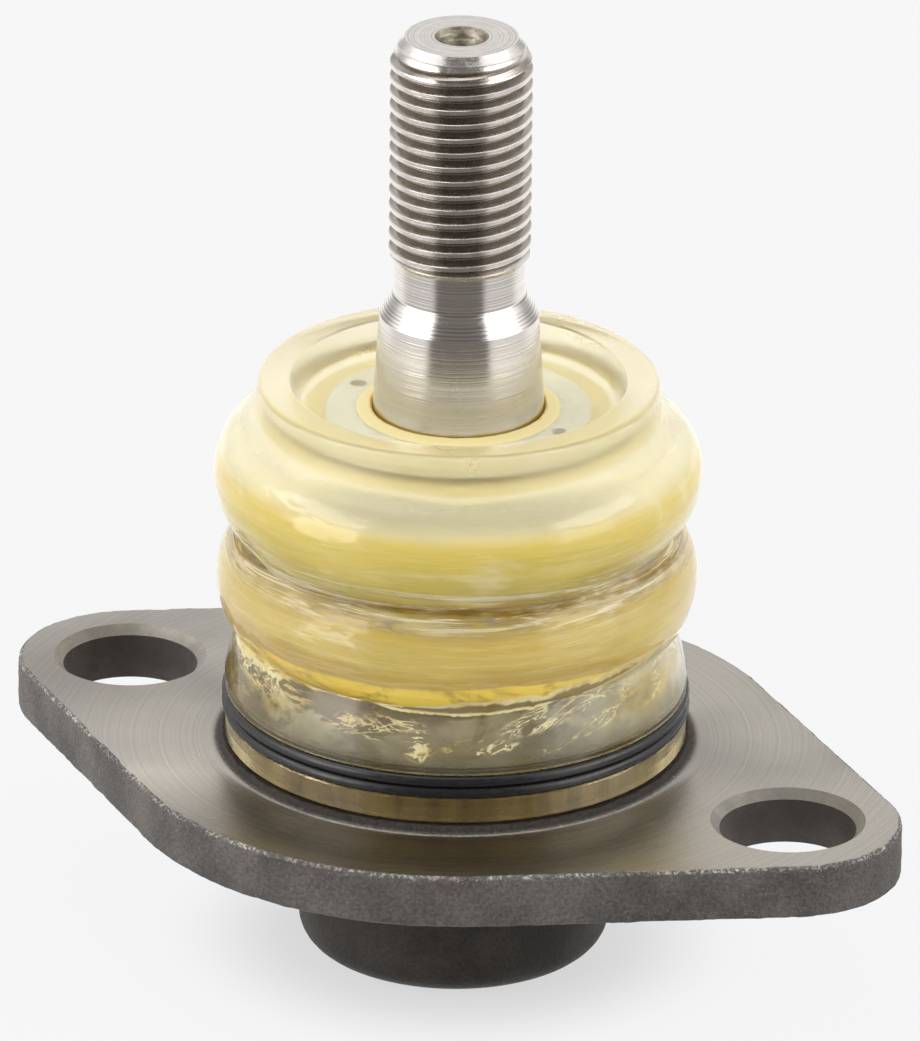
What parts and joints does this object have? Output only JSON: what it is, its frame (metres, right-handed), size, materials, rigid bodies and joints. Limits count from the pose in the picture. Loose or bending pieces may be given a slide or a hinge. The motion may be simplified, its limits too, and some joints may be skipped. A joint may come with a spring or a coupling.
{
  "type": "suspension ball joint",
  "caption": "Suspension ball joint with a two-bolt flange, tapered threaded stud and a pleated rubber-like boot held by a wire ring.",
  "frame": {"origin": "on the stud's axis, in the flange's underside, midway between the two bolt holes", "axes": "+X from one bolt hole to the other, +Z along the stud towards its threaded end"},
  "size_m": [0.0986, 0.067, 0.0965],
  "materials": {
    "forged_steel": "dark phosphated forging, machined satin on top",
    "turned_steel": "bright turned steel with fine lathe marks",
    "boot_polyurethane": "translucent pale yellow polyurethane, glossy",
    "wire_black": "glossy black coated spring wire",
    "insert_steel": "pale zinc-plated steel seen through the boot's skin",
    "seat_plastic": "natural acetal",
    "spring_steel": "oiled spring steel"
  },
  "bodies": {
    "housing": {"housing": "forged_steel", "closing_ring": "turned_steel", "upper_seat": "seat_plastic", "lower_seat": "seat_plastic", "disc_spring": "spring_steel"},
    "boot": {"boot": "boot_polyurethane", "boot_wire_ring": "wire_black"},
    "boot_insert": {"boot_insert_ring": "insert_steel"},
    "stud": {"ball_stud": "turned_steel"}
  },
  "joints": [
    {"name": "boot_turn", "type": "hinge", "parent": "housing", "child": "boot", "pos_m": [0, 0, 0.0015], "axis": [0, 0, 1], "continuous": true},
    {"name": "stud_swing", "type": "hinge", "parent": "boot", "child": "boot_insert", "pos_m": [0, 0, 0.0015], "axis": [0, 1, 0], "range_deg": [-20, 20], "deforming": ["boot"]},
    {"name": "stud_spin", "type": "hinge", "parent": "boot_insert", "child": "stud", "pos_m": [0, 0, 0.0015], "axis": [0, 0, 1], "continuous": true}
  ]
}
